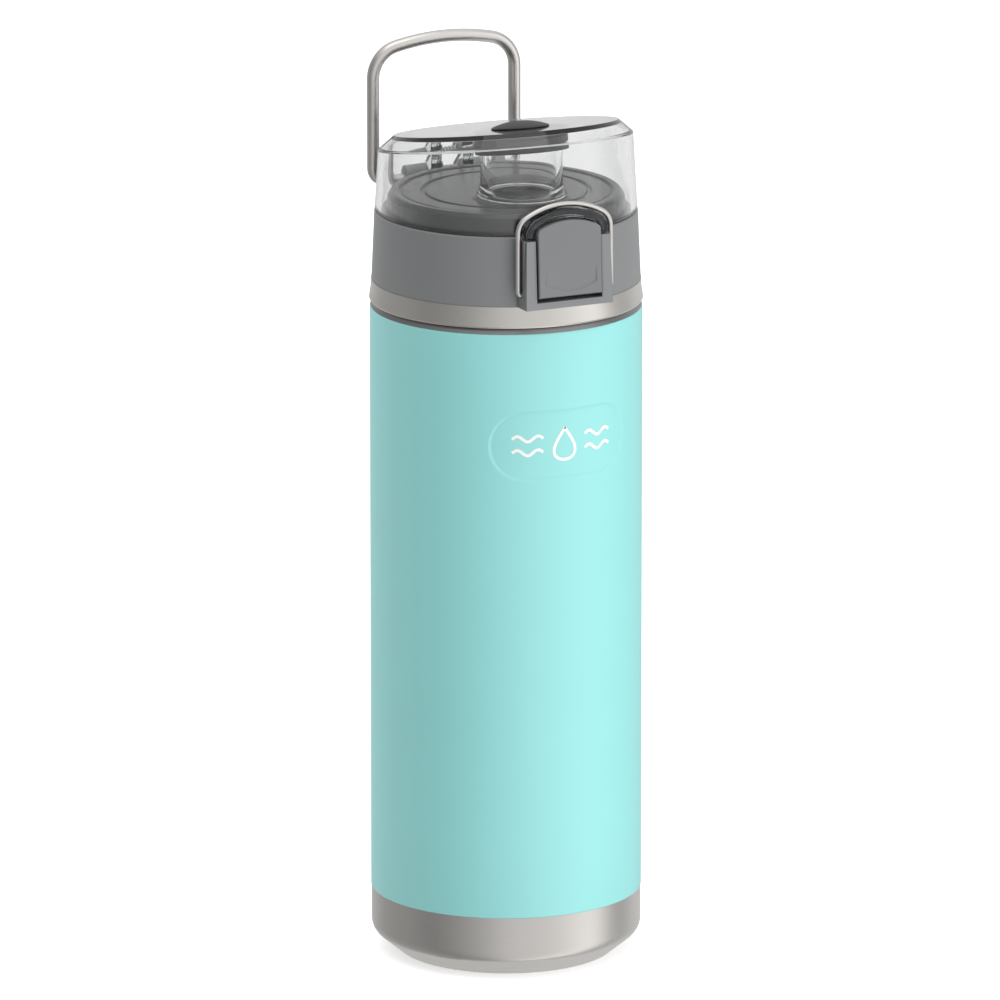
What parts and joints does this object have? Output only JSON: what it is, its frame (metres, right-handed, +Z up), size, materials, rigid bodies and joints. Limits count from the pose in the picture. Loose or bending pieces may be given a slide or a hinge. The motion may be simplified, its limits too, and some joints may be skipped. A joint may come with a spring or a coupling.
{
  "type": "insulated water bottle",
  "caption": "Tall double-walled steel bottle with a mint powder coat, a screw lid with a clear tinted flip cover, push button, wire lock ring and wire carry handle.",
  "frame": {"origin": "centre of the foot ring, on the plane the bottle stands on", "axes": "+Z up the bottle's axis; the button and lock ring face -Y; the cover hinge and handle are at +Y"},
  "size_m": [0.0774, 0.0871, 0.259],
  "materials": {
    "bare_steel": "fine circumferential brushing",
    "vessel_steel": "electropolished satin",
    "mint_coat": "fine satin powder coat",
    "seal_resin": "cast resin",
    "getter_metal": "sintered, matt",
    "seal_rubber": "matt silicone",
    "lid_grey": "fine moulded satin",
    "band_steel": "circumferential brushing",
    "liner_plastic": "moulded satin",
    "deck_grey": "moulded satin",
    "clear_plastic": "clear, polished",
    "pin_steel": "ground",
    "spring_steel": "drawn wire",
    "smoke_plastic": "clear smoke tint, polished",
    "plug_rubber": "matt silicone",
    "rod_steel": "bright drawn rod",
    "ring_steel": "bright drawn wire",
    "button_grey": "fine moulded satin"
  },
  "bodies": {
    "bottle": {"outer_shell": "bare_steel", "powder_coat": "mint_coat", "inner_vessel": "vessel_steel", "base_disc": "bare_steel", "vacuum_seal": "seal_resin", "getter": "getter_metal"},
    "lid_seal": {"lid_gasket": "seal_rubber"},
    "lid": {"lid_housing": "lid_grey", "trim_band": "band_steel", "thread_liner": "liner_plastic", "spout_seal": "seal_rubber", "spout": "clear_plastic", "lid_deck": "deck_grey", "hinge_pin": "pin_steel", "hinge_spring": "spring_steel", "button_pin": "pin_steel", "button_spring": "spring_steel"},
    "cover": {"cover": "smoke_plastic", "spout_plug": "plug_rubber"},
    "handle": {"carry_handle": "rod_steel"},
    "lock_ring": {"lock_ring": "ring_steel"},
    "button": {"push_button": "button_grey"}
  },
  "joints": [
    {"name": "lid_lift", "type": "slide", "parent": "bottle", "child": "lid_seal", "axis": [0, 0, 1], "range_m": [0, 0.0161]},
    {"name": "lid_turn", "type": "hinge", "parent": "lid_seal", "child": "lid", "pos_m": [0, 0, 0.2], "axis": [0, 0, 1], "range_deg": [0, 720]},
    {"name": "cover_hinge", "type": "hinge", "parent": "lid", "child": "cover", "pos_m": [0, 0.041, 0.2173], "axis": [-1, 0, 0], "range_deg": [0, 110], "deforming": ["hinge_spring"]},
    {"name": "handle_swing", "type": "hinge", "parent": "cover", "child": "handle", "pos_m": [0, 0.041, 0.2173], "axis": [1, 0, 0], "range_deg": [-170, 0]},
    {"name": "lock_ring_swing", "type": "hinge", "parent": "lid", "child": "lock_ring", "pos_m": [0, -0.0379, 0.2], "axis": [1, 0, 0], "range_deg": [0, 170]},
    {"name": "button_press", "type": "hinge", "parent": "lid", "child": "button", "pos_m": [0, -0.0386, 0.21], "axis": [1, 0, 0], "range_deg": [0, 6], "deforming": ["button_spring"]}
  ],
  "couplings": [
    {"joint": "lid_lift", "follows": "lid_turn", "m_per_rad": 0.0012732}
  ]
}
